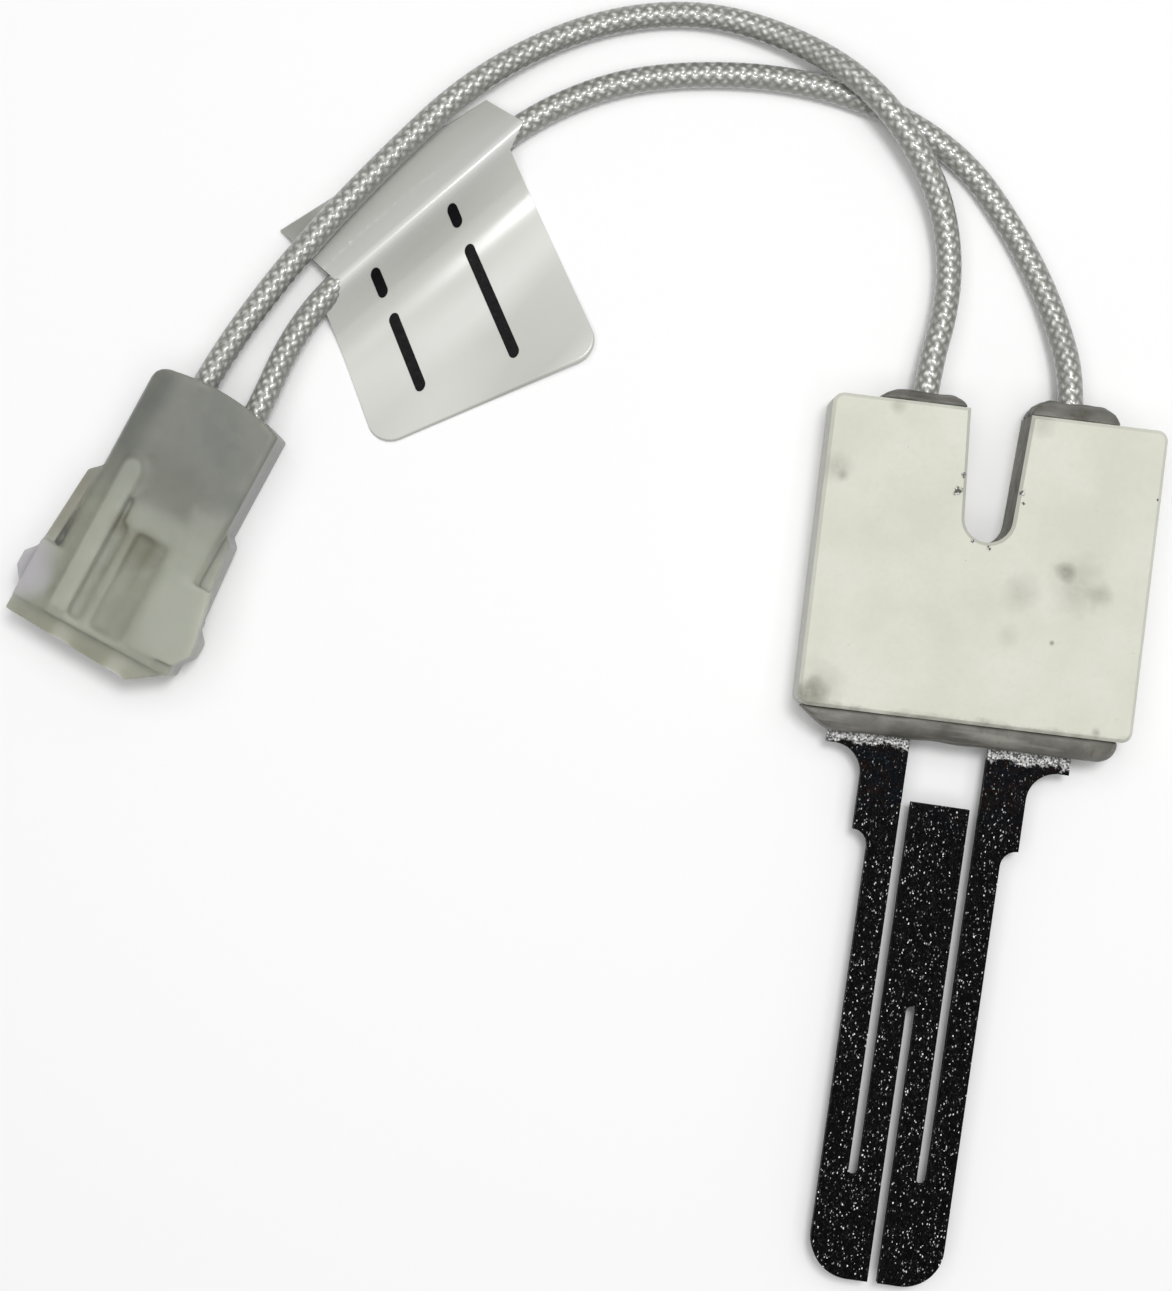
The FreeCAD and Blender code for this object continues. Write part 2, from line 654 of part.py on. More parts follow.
def flange():
    """Wide front of the shell that the latch arms grow from, and the lower nose in front of it."""
    half = FLANGE_WIDTH / 2
    shell = HOUSING_SHELL_LENGTH
    root = shell - NOSE_ROOT
    front = shell + NOSE_LENGTH
    block = mirrored_box(-half, half, shell - FLANGE_LENGTH, shell, NOSE_STEP / 2,
                         HOUSING_HEIGHT - NOSE_STEP / 2)
    nose = plate(rounded_outline([
        (half, root, 0),
        (half, front - NOSE_LEFT_SET_BACK, 0),
        (-half + NOSE_CORNER_ACROSS, front, 0),
        (-half, front - NOSE_CORNER_ALONG, 0),
        (-half, root, 0),
    ], 0), 0, HOUSING_HEIGHT - 2 * NOSE_STEP)
    nose.translate(Vector(0, 0, NOSE_STEP))
    return block.fuse(nose)


def latch_arm(side):
    """Springy arm beside the shell, free at the wire end, with an ear near the mating end."""
    sign = SIDES[side]
    outer = FLANGE_WIDTH / 2
    low = (HOUSING_HEIGHT - ARM_HEIGHT) / 2
    free = outer - ARM_SLANT
    profile = [
        (free - ARM_THICKNESS, ARM_START),
        (free, ARM_START + ARM_END_SLANT),
        (outer, EAR_START),
        (outer + EAR_RISE, EAR_PEAK_START),
        (outer + EAR_RISE, EAR_PEAK_END),
        (outer, EAR_END),
        (outer - ARM_THICKNESS - ARM_SLANT, EAR_END),
        (outer - ARM_THICKNESS, EAR_START),
    ]
    points = [Vector(-sign * across, along, low) for across, along in profile]
    return Part.Face(Part.makePolygon(points + [points[0]])).extrude(Vector(0, 0, ARM_HEIGHT))


def cavity(side):
    """One cavity: rear bore for the lead and its crimp, neck that the terminal snaps in, front well."""
    across = CAVITY_XS[side]
    neck_end = CAVITY_SHOULDER + CAVITY_NECK_LENGTH
    steps = [
        (CAVITY_REAR_DIAMETER, -HOUSING_REAR_BOW - OVERRUN, CAVITY_SHOULDER),
        (CAVITY_NECK_DIAMETER, CAVITY_SHOULDER, neck_end),
        (CAVITY_WELL_DIAMETER, neck_end, HOUSING_SHELL_LENGTH + NOSE_LENGTH + OVERRUN),
    ]
    parts = []
    for diameter, start, end in steps:
        parts.append(Part.makeCylinder(diameter / 2, end - start, Vector(-across, start, CAVITY_Z),
                                       Vector(0, 1, 0)))
    return parts[0].fuse(parts[1:])


def terminal(side):
    """Pin terminal: barrel crimped on the insulation, barrel on the conductor, collar, lances, pin."""
    insulation = LEAD_RADIUS + TERMINAL_CLEARANCE
    wire = CONDUCTOR_DIAMETER / 2 + TERMINAL_CLEARANCE
    sheet = TERMINAL_SHEET
    pin = PIN_DIAMETER / 2
    body = CAVITY_NECK_DIAMETER / 2 - TERMINAL_CLEARANCE
    collar = CAVITY_REAR_DIAMETER / 2 - TERMINAL_CLEARANCE
    seat = CAVITY_SHOULDER - TERMINAL_CLEARANCE
    grip_start = LEAD_IN_PLUG - TERMINAL_GRIP
    neck_end = CAVITY_SHOULDER + CAVITY_NECK_LENGTH + TERMINAL_CLEARANCE
    stop = LEAD_IN_PLUG + TERMINAL_CLEARANCE
    profile = [
        (insulation, grip_start),
        (insulation + sheet, grip_start),
        (insulation + sheet, stop + sheet),
        (wire + sheet, stop + sheet),
        (wire + sheet, CRIMP_END),
        (body, CRIMP_END),
        (body, seat - COLLAR_LENGTH),
        (collar, seat - COLLAR_LENGTH),
        (collar, seat),
        (body, seat),
        (body, neck_end + LANCE_LENGTH),
        (pin, neck_end + LANCE_LENGTH),
        (pin, PIN_TIP - PIN_POINT_LENGTH),
        (pin * PIN_POINT_SHARE, PIN_TIP),
        (0, PIN_TIP),
        (0, CRIMP_END),
        (wire, CRIMP_END),
        (wire, stop),
        (insulation, stop),
    ]
    axis = plug_entry(side, 1) - plug_entry(side, 0)
    shape = turned(profile, plug_entry(side, 0), axis)
    lances = []
    for sign in (-1, 1):
        base = body - LANCE_ROOT
        tip = collar - LANCE_CLEARANCE
        points = [
            Vector(-LANCE_WIDTH / 2, sign * base, neck_end + LANCE_LENGTH),
            Vector(-LANCE_WIDTH / 2, sign * tip, neck_end),
            Vector(-LANCE_WIDTH / 2, sign * base, neck_end),
        ]
        wedge = Part.Face(Part.makePolygon(points + [points[0]])).extrude(Vector(LANCE_WIDTH, 0, 0))
        wedge.Placement = shape.Placement
        lances.append(wedge)
    return shape.fuse(lances)


def plug_conductor(side):
    """Bare end of a lead inside the terminal's crimp."""
    start = plug_entry(side, LEAD_IN_PLUG)
    end = plug_entry(side, CRIMP_END - CONDUCTOR_END_GAP)
    return Part.makeCylinder(CONDUCTOR_DIAMETER / 2, (end - start).Length, start, end - start)


def lead_label():
    """Film label folded round the right lead: a loose loop round the lead and a flag of two layers."""
    start = ROUTE_RIGHT[9]
    end = ROUTE_RIGHT[11]
    along = Vector(end.x - start.x, end.y - start.y, 0).normalize()
    wire_radius = LEAD_RADIUS + LABEL_WIRE_CLEARANCE
    centre_z = wire_radius + FILM_THICKNESS
    circles = [
        (0, centre_z, wire_radius),
        (-SPINE_REACH, FILM_THICKNESS + SPINE_RADIUS, SPINE_RADIUS),
        (LIFT_REACH, FILM_THICKNESS + LIFT_RADIUS, LIFT_RADIUS),
    ]
    outer = belt([(x, z, radius + FILM_THICKNESS) for x, z, radius in circles])
    inner = belt(circles)
    loop = outer.cut(inner).extrude(Vector(0, LABEL_LENGTH, 0))
    heading = math.degrees(math.atan2(along.y, along.x)) - 90
    loop.Placement = FreeCAD.Placement(start + along * LABEL_START_ALONG,
                                       FreeCAD.Rotation(Vector(0, 0, 1), heading))
    loop.translate(Vector(0, 0, -start.z))
    radii = [0, LABEL_CORNER_RADIUS, LABEL_CORNER_RADIUS, 0]
    corners = [(x, y, radius) for (x, y), radius in zip(FLAG_CORNERS, radii)]
    flag = plate(rounded_outline(corners, 0), 0, 2 * FILM_THICKNESS)
    return loop.fuse(flag).removeSplitter()


def build():
    os.makedirs("parts", exist_ok=True)
    leads = {
        "left": lead_tube("lead_left", ROUTE_LEFT),
        "right": lead_tube("lead_right", ROUTE_RIGHT),
    }
    element = heating_element()
    nodes = {"ceramic_block": ceramic_block(), "heating_element": element}
    embedded = [element]
    for side in SIDES:
        nodes["contact_clip_" + side] = contact_clip(side)
        nodes["block_conductor_" + side] = block_conductor(side)
        nodes["lead_" + side] = leads[side]
        embedded += [nodes["contact_clip_" + side], nodes["block_conductor_" + side], leads[side]]
    nodes["element_cement"] = element_cement(embedded)
    for side in SIDES:
        nodes["lead_cement_" + side] = lead_cement(side, embedded)
        nodes["terminal_" + side] = terminal(side)
        nodes["plug_conductor_" + side] = plug_conductor(side)
    nodes["connector_housing"] = connector_housing()
    nodes["lead_label"] = lead_label()
    for name, shape in nodes.items():
        limits = shape.BoundBox
        print(name, "solids", len(shape.Solids), "valid", shape.isValid(), "volume", round(shape.Volume, 1),
              [round(value, 2) for value in (limits.XMin, limits.XMax, limits.YMin, limits.YMax,
                                             limits.ZMin, limits.ZMax)])
        shape.exportStep("parts/" + name + ".step")


build()
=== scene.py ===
"""Looks of the hot surface igniter: braided leads, film label, moulded plug, and every finish.

Lengths are millimetres in the constants below and metres in Blender, so MM turns one into the other.
The frame is the part's own: the holder's back face is z = 0 and its middle is the origin.
"""
import math

import bmesh
import bpy
import numpy as np
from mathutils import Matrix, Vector, noise


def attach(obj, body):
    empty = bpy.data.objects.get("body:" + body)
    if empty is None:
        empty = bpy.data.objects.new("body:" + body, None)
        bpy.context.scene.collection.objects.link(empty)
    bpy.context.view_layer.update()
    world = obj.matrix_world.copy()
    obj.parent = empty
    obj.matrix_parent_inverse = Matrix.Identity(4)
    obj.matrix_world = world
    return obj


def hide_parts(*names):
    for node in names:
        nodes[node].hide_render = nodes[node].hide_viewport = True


MM = 0.001

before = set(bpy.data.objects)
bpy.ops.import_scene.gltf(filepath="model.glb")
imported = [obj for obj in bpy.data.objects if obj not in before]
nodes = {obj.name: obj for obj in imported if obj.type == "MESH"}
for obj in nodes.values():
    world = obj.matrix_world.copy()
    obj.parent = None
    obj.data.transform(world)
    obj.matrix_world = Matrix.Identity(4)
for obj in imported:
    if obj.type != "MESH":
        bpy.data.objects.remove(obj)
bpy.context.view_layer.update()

# Camera: straight above the middle of the photograph, which is turned against the holder
CAMERA_X = -39.36
CAMERA_Y = -12.81
CAMERA_HEIGHT = 300.0
CAMERA_TURN_DEG = 6.93
SEEN_HEIGHT = 135.6
SENSOR = 36.0

# Leads: yarns round the braid, the repeat along it, its relief and sway, and the mesh's steps
LEAD_DIAMETER = 2.7
LEAD_RADIUS = LEAD_DIAMETER / 2
BRAID_STRANDS = 8
BRAID_PITCH = 1.25
BRAID_DEPTH = 0.10
BRAID_SWAY = 0.05
BRAID_STEP = 0.15
BRAID_SEGMENTS = 56

# The cord's path lists every sixth of the points that the braid follows
PATH_STRIDE = 6

# Routes of the leads: the points of the part's source, some moved by under 1 mm to follow the photograph
ROUTE_LEFT = [
    (-7.75, 8.0, 4.0),
    (-7.75, 18.5, 4.0),
    (-6.1, 28.0, 2.9),
    (-7.6, 36.2, 3.3),
    (-11.7, 42.9, 4.6),
    (-17.7, 48.7, 4.6),
    (-25.4, 52.6, 2.4),
    (-34.5, 54.4, 1.4),
    (-43.4, 52.9, 1.4),
    (-51.6, 49.0, 1.9),
    (-59.0, 43.0, 3.5),
    (-65.0, 35.8, 3.8),
    (-70.8, 28.3, 3.8),
    (-76.1, 20.4, 4.0),
    (-81.31, 10.86, 4.2),
    (-84.62, 2.49, 4.2),
]
ROUTE_RIGHT = [
    (7.75, 8.0, 4.0),
    (8.1, 18.6, 4.0),
    (4.85, 27.9, 2.0),
    (-0.5, 36.1, 1.4),
    (-6.5, 42.6, 1.4),
    (-15.6, 47.0, 1.4),
    (-25.1, 48.65, 1.4),
    (-35.6, 47.95, 1.4),
    (-44.5, 45.6, 1.5),
    (-53.1, 40.3, 1.62),
    (-61.6, 31.0, 1.62),
    (-70.2, 21.2, 1.8),
    (-73.7, 15.0, 3.0),
    (-75.95, 7.13, 4.2),
    (-78.71, 0.15, 4.2),
]

# Plug: middle of its wire end, and its directions along and across
PLUG_REAR = (-79.65, 8.05, 0.0)
PLUG_ALONG = (-0.36731, -0.93010, 0.0)
PLUG_ACROSS = (0.93010, -0.36731, 0.0)

# Relief of the plug: heights as modelled, and as the milky walls let them show
RELIEF_FROM = (0.0, 4.2, 6.6, 8.4, 9.1)
RELIEF_TO = (0.0, 4.2, 7.4, 8.4, 8.9)

# Blur of that relief: where it reaches in the plug's own directions, and its fading edge
BLUR_PASSES = 22
BLUR_ACROSS = 7.2
BLUR_ALONG = (2.0, 28.9)
BLUR_ABOVE = 5.0
BLUR_FADE = 0.8

# Tones of the plug, partly its own tints and partly painted light and shade that follow the walls' thickness and
# the voids behind them: middle (along, across) and reach in millimetres, colour, share
PLUG_TONES = [
    ((10.2, 0.0), (3.6, 4.6), (0.165, 0.172, 0.14), 0.6),
    ((16.2, -9.0), (4.6, 2.0), (0.25, 0.225, 0.19), 0.6),
    ((16.4, -2.7), (1.3, 1.2), (0.19, 0.19, 0.125), 0.7),
    ((17.6, 0.6), (2.2, 2.0), (0.20, 0.195, 0.135), 0.75),
    ((23.6, 1.5), (4.5, 4.0), (0.29, 0.30, 0.23), 0.5),
    ((22.0, 7.4), (4.6, 4.0), (0.45, 0.46, 0.40), 0.7),
    ((25.0, -8.8), (3.4, 2.4), (0.50, 0.485, 0.52), 0.8),
    ((30.2, 0.0), (1.8, 9.0), (0.29, 0.29, 0.22), 0.7),
]

# Label: plan positions of its four lines, each from the end nearer the holder to the other end
OUTER_EDGE = ((-41.35, 17.9), (-63.6, 5.0))
FOLD_LINE = ((-53.4, 37.5), (-70.7, 18.9))
LEAD_LINE = ((-52.4, 40.4), (-69.6, 21.6))
SPINE_LINE = ((-56.3, 42.5), (-76.1, 26.3))

# Film: thickness, corner radius, lift of the free edge, hold round the lead, folds
FILM = 0.12
FLAG_CORNER_RADIUS = 2.6
FLAG_LIFT = 1.1
FILM_HUG = 1.65
FILM_CREST = 3.24
FILM_LEAVES = 1.2
FILM_EASE = 6.6
SPINE_FOLD = 0.42
FILM_LOW = 0.0744
LABEL_TURN_DEG = -47.5
LABEL_WIDTH = 25.0

# Points across the film, stretch by stretch, and strips along it
FLAG_STEPS = 50
EASE_STEPS = 14
HUG_STEPS = 6
CREST_STEPS = 19
BEND_STEPS = 9
BACK_STEPS = 24
UNDER_STEPS = 9
LOWER_STEPS = 45
STRIPS = 64

# Plain bars for print: share of the label's width, then start and length of each bar in the row
PRINT_ROWS = [
    (0.33, [(0.3, 2.3), (4.6, 12.8)]),
    (0.74, [(0.3, 2.9), (5.1, 8.6)]),
]
BAR_HALF_WIDTH = 0.6
BAR_CLEARANCE = 0.03
BAR_STEPS = 40
BAR_COLUMNS = 7

# Holder's front face
BLOCK_FRONT = 8.0

# Grey smudges on the holder's front: place, radius, soft edge, strength
SMUDGES = [
    ((8.4, 0.4), 0.3, 1.0, 0.8),
    ((9.7, -0.6), 0.9, 2.6, 0.34),
    ((12.2, -1.4), 0.3, 1.3, 0.4),
    ((4.2, -2.1), 0.5, 2.0, 0.3),
    ((7.9, -6.8), 0.08, 0.25, 0.8),
    ((3.2, -6.6), 0.2, 1.2, 0.2),
    ((-16.0, -14.9), 0.7, 1.5, 0.85),
    ((-15.0, -13.9), 0.9, 2.2, 0.3),
    ((-16.1, 8.4), 0.4, 1.6, 0.35),
    ((-15.4, 7.6), 0.1, 0.6, 0.5),
    ((13.5, -15.4), 0.1, 0.5, 0.6),
    ((4.2, 15.4), 0.3, 1.4, 0.3),
    ((-10.6, 15.4), 0.2, 0.8, 0.35),
]

# Chipped places on the holder's front: place, radius
CHIPS = [
    ((-3.5, 7.5), 0.5),
    ((-3.2, 9.2), 0.35),
    ((3.0, 8.1), 0.4),
    ((3.3, 7.0), 0.2),
    ((-1.4, 2.6), 0.22),
    ((0.4, 2.1), 0.3),
    ((1.6, 3.0), 0.2),
    ((16.9, 9.0), 0.16),
]

# Floor, sky and lights: name, place, size, power
FLOOR_REACH = 3.0
FLOOR_TONE = (0.94, 0.94, 0.94)
SKY_STRENGTH = 0.22
LAMPS = [
    ("overhead", (-40, 20, 650), 700, 2.7),
    ("key", (20, 90, 560), 110, 1.2),
]


class Surface:
    """A material with its Principled shader and short calls for the nodes that feed it."""

    def __init__(self, name, **sockets):
        self.material = bpy.data.materials.new(name)
        self.material.use_nodes = True
        self.tree = self.material.node_tree
        self.shader = self.tree.nodes["Principled BSDF"]
        for socket, value in sockets.items():
            self.set(socket.replace("_", " "), value)
        coordinates = self.tree.nodes.new("ShaderNodeTexCoord")
        self.place = self.vector("SCALE", coordinates.outputs["Object"], scale=1 / MM)
        self.facing = coordinates.outputs["Normal"]
        self.strand = coordinates.outputs["UV"]

    def set(self, socket, value):
        target = self.shader.inputs[socket]
        if isinstance(value, bpy.types.NodeSocket):
            self.tree.links.new(value, target)
        elif isinstance(value, tuple) and len(value) == 3 and target.type == "RGBA":
            target.default_value = (*value, 1)
        else:
            target.default_value = value

    def put(self, node, index, value):
        if isinstance(value, bpy.types.NodeSocket):
            self.tree.links.new(value, node.inputs[index])
        elif value is not None:
            node.inputs[index].default_value = value

    def vector(self, operation, first, second=None, scale=None):
        node = self.tree.nodes.new("ShaderNodeVectorMath")
        node.operation = operation
        self.put(node, 0, first)
        self.put(node, 1, second)
        if scale is not None:
            node.inputs["Scale"].default_value = scale
        return node.outputs["Value" if operation in ("DISTANCE", "LENGTH", "DOT_PRODUCT") else "Vector"]

    def math(self, operation, first, second=None):
        node = self.tree.nodes.new("ShaderNodeMath")
        node.operation = operation
        self.put(node, 0, first)
        self.put(node, 1, second)
        return node.outputs[0]

    def noise(self, scale, detail=4, roughness=0.5, where=None):
        node = self.tree.nodes.new("ShaderNodeTexNoise")
        self.put(node, "Vector", where or self.place)
        node.inputs["Scale"].default_value = scale
        node.inputs["Detail"].default_value = detail
        node.inputs["Roughness"].default_value = roughness
        return node.outputs["Fac"]

    def cells(self, scale, output="Color", where=None):
        node = self.tree.nodes.new("ShaderNodeTexVoronoi")
        self.put(node, "Vector", where or self.place)
        node.inputs["Scale"].default_value = scale
        return node.outputs[output]

    def stretch(self, where, factors):
        node = self.tree.nodes.new("ShaderNodeMapping")
        self.put(node, "Vector", where)
        node.inputs["Scale"].default_value = factors
        return node.outputs[0]

    def turned(self, where, degrees):
        node = self.tree.nodes.new("ShaderNodeMapping")
        self.put(node, "Vector", where)
        node.inputs["Rotation"].default_value = (0, 0, math.radians(degrees))
        return node.outputs[0]

    def axis(self, where, letter):
        node = self.tree.nodes.new("ShaderNodeSeparateXYZ")
        self.put(node, 0, where)
        return node.outputs[letter]

    def span(self, value, low, high, to_low=0.0, to_high=1.0):
        node = self.tree.nodes.new("ShaderNodeMapRange")
        node.clamp = True
        for index, part in enumerate((value, low, high, to_low, to_high)):
            self.put(node, index, part)
        return node.outputs[0]

    def mix(self, share, first, second):
        node = self.tree.nodes.new("ShaderNodeMix")
        node.data_type = "RGBA"
        self.put(node, 0, share)
        for index, colour in ((6, first), (7, second)):
            self.put(node, index, (*colour, 1) if isinstance(colour, tuple) else colour)
        return node.outputs[2]

    def bump(self, height, distance, strength, below=None):
        node = self.tree.nodes.new("ShaderNodeBump")
        node.inputs["Strength"].default_value = strength
        node.inputs["Distance"].default_value = distance * MM
        self.put(node, "Height", height)
        self.put(node, "Normal", below)
        return node.outputs[0]

    def near(self, point, radius, soft, wobble=0.0, scale=1.0):
        """One inside a spot of that radius round a point, fading to nothing over soft."""
        away = self.vector("DISTANCE", self.place, point)
        if wobble:
            away = self.math("ADD", away, self.span(self.noise(scale), 0, 1, -wobble, wobble))
        return self.span(away, radius, radius + soft, 1, 0)


def ivory_ceramic():
    """Fine matt ivory ceramic with faint mottling, specks, grey smudges and chips, painted shade on the side
    walls and in the notch, and darker along its lower edge.
    """
    s = Surface("ivory_ceramic_finish", Specular_IOR_Level=0.25)
    tone = s.mix(s.span(s.noise(0.12, 5), 0.35, 0.65), (0.62, 0.625, 0.53), (0.68, 0.69, 0.60))
    tone = s.mix(s.span(s.noise(1.7, 6, 0.7), 0.5, 0.75, 0, 0.3), tone, (0.58, 0.575, 0.485))
    speck = s.span(s.cells(1.1, "Distance"), 0.02, 0.07, 1, 0)
    chosen = s.span(s.axis(s.cells(1.1, "Color"), "X"), 0.92, 0.94)
    tone = s.mix(s.math("MULTIPLY", speck, chosen), tone, (0.26, 0.24, 0.19))
    for (x, y), radius, soft, depth in SMUDGES:
        spot = s.near((x, y, BLOCK_FRONT), radius, soft, radius + 0.3 * soft, 0.7)
        grain = s.span(s.noise(1.4, 6, 0.7), 0.3, 0.7, 0.5, 1)
        tone = s.mix(s.math("MULTIPLY", s.math("MULTIPLY", spot, grain), depth), tone, (0.17, 0.165, 0.13))
    height = s.math("ADD", s.span(s.noise(6.0, 4, 0.6), 0, 1, 0, 0.4), s.noise(0.5, 3))
    for (x, y), radius in CHIPS:
        chip = s.math("MULTIPLY", s.near((x, y, BLOCK_FRONT), 0.0, 1.7 * radius), 0.4)
        chip = s.span(s.math("ADD", s.noise(1.3, 8, 0.8), chip), 0.70, 0.73)
        flake = s.span(s.axis(s.cells(5.5, "Color"), "X"), 0.62, 0.75)
        tone = s.mix(chip, tone, s.mix(flake, (0.10, 0.10, 0.085), (0.66, 0.66, 0.64)))
        height = s.math("SUBTRACT", height, s.math("MULTIPLY", chip, 1.6))
    # painted shade: walls that face sideways are darkened
    side = s.span(s.math("ABSOLUTE", s.axis(s.facing, "Z")), 0.2, 0.8, 1, 0)
    tone = s.mix(s.math("MULTIPLY", side, 0.5), tone, (0.56, 0.55, 0.56))
    # painted shade in the notch between the prongs: its side walls are darkened further, unevenly
    inside = s.span(s.math("ABSOLUTE", s.axis(s.place, "X")), 4.6, 5.4, 1, 0)
    notch_shade_grain = s.span(s.noise(0.5, 6, 0.65), 0.3, 0.7, 0.6, 0.95)
    tone = s.mix(s.math("MULTIPLY", s.math("MULTIPLY", side, inside), notch_shade_grain), tone, (0.13, 0.125, 0.10))
    # darker towards the lower edge of the front, unevenly
    lower = s.math("ADD", s.axis(s.place, "Y"), s.span(s.noise(0.35, 6, 0.6), 0, 1, -1.4, 1.4))
    lower_darkening = s.span(s.noise(0.5, 4), 0.35, 0.65, 0.3, 0.9)
    tone = s.mix(s.math("MULTIPLY", s.span(lower, -16.2, -15.3, 1, 0), lower_darkening), tone, (0.26, 0.25, 0.21))
    s.set("Base Color", tone)
    s.set("Roughness", s.span(s.noise(2.0), 0.3, 0.7, 0.52, 0.72))
    s.set("Normal", s.bump(height, 0.04, 0.6))
    return s.material


def silicon_carbide():
    """Black crystalline element: painted glints, white and faintly coloured on the feet, a faint tint on the
    feet, and a metallised edge at the cement.
    """
    s = Surface("silicon_carbide_finish", Specular_IOR_Level=0.03)
    along = s.axis(s.place, "Y")
    drawn = s.stretch(s.place, (1.0, 0.62, 1.0))
    grain = s.cells(10.0, "Color", drawn)
    bright = s.axis(grain, "X")
    shade = s.mix(s.span(s.noise(1.2, 5, 0.6), 0.3, 0.7), (0.0008, 0.0008, 0.0008), (0.003, 0.003, 0.003))
    shade = s.mix(s.span(bright, 0.72, 0.95), shade, (0.014, 0.014, 0.014))
    foot = s.math("ADD", along, s.span(s.noise(0.5, 4), 0, 1, -1.6, 1.6))
    feet = s.span(foot, -27.5, -24.0)
    hue = s.mix(s.math("MULTIPLY", feet, 0.45), (1.0, 1.0, 1.0), s.cells(5.0, "Color"))
    level = s.math("POWER", s.axis(grain, "Y"), 3)
    # painted glints: a few grain cells turned bright, coloured on the feet
    painted_sparkle = s.math("MULTIPLY", s.span(bright, 0.93, 0.95), level)
    shade = s.mix(painted_sparkle, shade, hue)
    tint = s.mix(s.span(s.noise(0.8, 4, 0.6), 0.4, 0.62), (0.004, 0.010, 0.018), (0.018, 0.009, 0.006))
    shade = s.mix(s.math("MULTIPLY", feet, s.span(bright, 0.3, 0.8, 0.1, 0.45)), shade, tint)
    edge = s.math("ADD", along, s.span(s.noise(0.75, 5, 0.7), 0, 1, -1.9, 1.9))
    metal = s.span(edge, -19.6, -19.3)
    silver = s.mix(s.span(s.axis(s.cells(6.0, "Color"), "Z"), 0.25, 0.9), (0.12, 0.12, 0.12), (0.80, 0.80, 0.78))
    shade = s.mix(metal, shade, silver)
    s.set("Base Color", shade)
    s.set("Roughness", s.span(s.axis(grain, "Y"), 0, 1, 0.45, 0.8))
    height = s.math("ADD", s.axis(grain, "Z"), s.span(s.noise(4.0, 5, 0.7), 0, 1, 0, 1.4))
    s.set("Normal", s.bump(height, 0.02, 0.35))
    return s.material


def grey_cement():
    """Smooth trowelled cement, soft streaks along the holder's width, soiled brown in places."""
    s = Surface("grey_cement_finish", Specular_IOR_Level=0.35)
    tone = s.mix(s.span(s.noise(0.3, 4, 0.5), 0.35, 0.65), (0.10, 0.097, 0.083), (0.18, 0.177, 0.157))
    streaks = s.noise(0.8, 3, 0.5, s.stretch(s.place, (0.16, 1.3, 1.3)))
    tone = s.mix(s.span(streaks, 0.52, 0.7, 0, 0.5), tone, (0.34, 0.335, 0.30))
    tone = s.mix(s.span(s.noise(0.4, 5, 0.7), 0.55, 0.66, 0, 0.6), tone, (0.095, 0.08, 0.055))
    pin = s.span(s.cells(1.1, "Distance"), 0.03, 0.08, 1, 0)
    pin = s.math("MULTIPLY", pin, s.span(s.axis(s.cells(1.1, "Color"), "X"), 0.86, 0.9))
    tone = s.mix(pin, tone, (0.07, 0.07, 0.065))
    s.set("Base Color", tone)
    s.set("Roughness", s.span(s.noise(1.5), 0.3, 0.7, 0.42, 0.62))
    height = s.math("ADD", s.noise(0.9, 3, 0.4), s.math("MULTIPLY", streaks, 0.5))
    s.set("Normal", s.bump(height, 0.08, 0.5))
    return s.material


def glass_braid():
    """Varnished glass yarns: painted highlights as flecks where a yarn crowns, painted shade on the flanks and
    in the valleys between yarns.
    """
    s = Surface("glass_braid_finish", Specular_IOR_Level=0.6, Coat_Weight=1.0, Coat_Roughness=0.14)
    filaments = s.noise(1.0, 2, 0.6, s.stretch(s.strand, (0.8, 14.0, 1.0)))
    across = s.math("ABSOLUTE", s.axis(s.strand, "Y"))
    from_crown = s.math("ABSOLUTE", s.math("SUBTRACT", s.math("FRACT", s.axis(s.strand, "X")), 0.5))
    # painted highlights: near-white flecks at each yarn's crown, fewer away from the lead's upper side
    painted_fleck = s.math("MULTIPLY", s.span(from_crown, 0.12, 0.44, 1, 0), s.span(across, 0.06, 0.30, 1, 0))
    upper = s.math("ABSOLUTE", s.axis(s.facing, "Z"))
    painted_fleck = s.math("MULTIPLY", painted_fleck, s.span(upper, 0.55, 0.9, 0.1, 1))
    painted_fleck = s.math("MULTIPLY", painted_fleck, s.span(s.noise(0.9, 3, 0.6), 0.38, 0.58, 0.25, 1))
    tone = s.mix(s.span(filaments, 0.3, 0.7), (0.20, 0.20, 0.182), (0.33, 0.33, 0.305))
    # painted shade in the valleys between yarns
    tone = s.mix(s.math("MULTIPLY", s.span(across, 0.3, 0.5), 0.6), tone, (0.12, 0.12, 0.108))
    # painted shade: the lead's flanks, which face sideways, are darkened
    tone = s.mix(s.span(upper, 0.35, 0.85, 0.5, 0), tone, (0.13, 0.13, 0.118))
    tone = s.mix(painted_fleck, tone, (0.80, 0.795, 0.74))
    s.set("Base Color", tone)
    s.set("Roughness", s.span(filaments, 0.3, 0.7, 0.24, 0.46))
    s.set("Normal", s.bump(filaments, 0.03, 0.6))
    return s.material


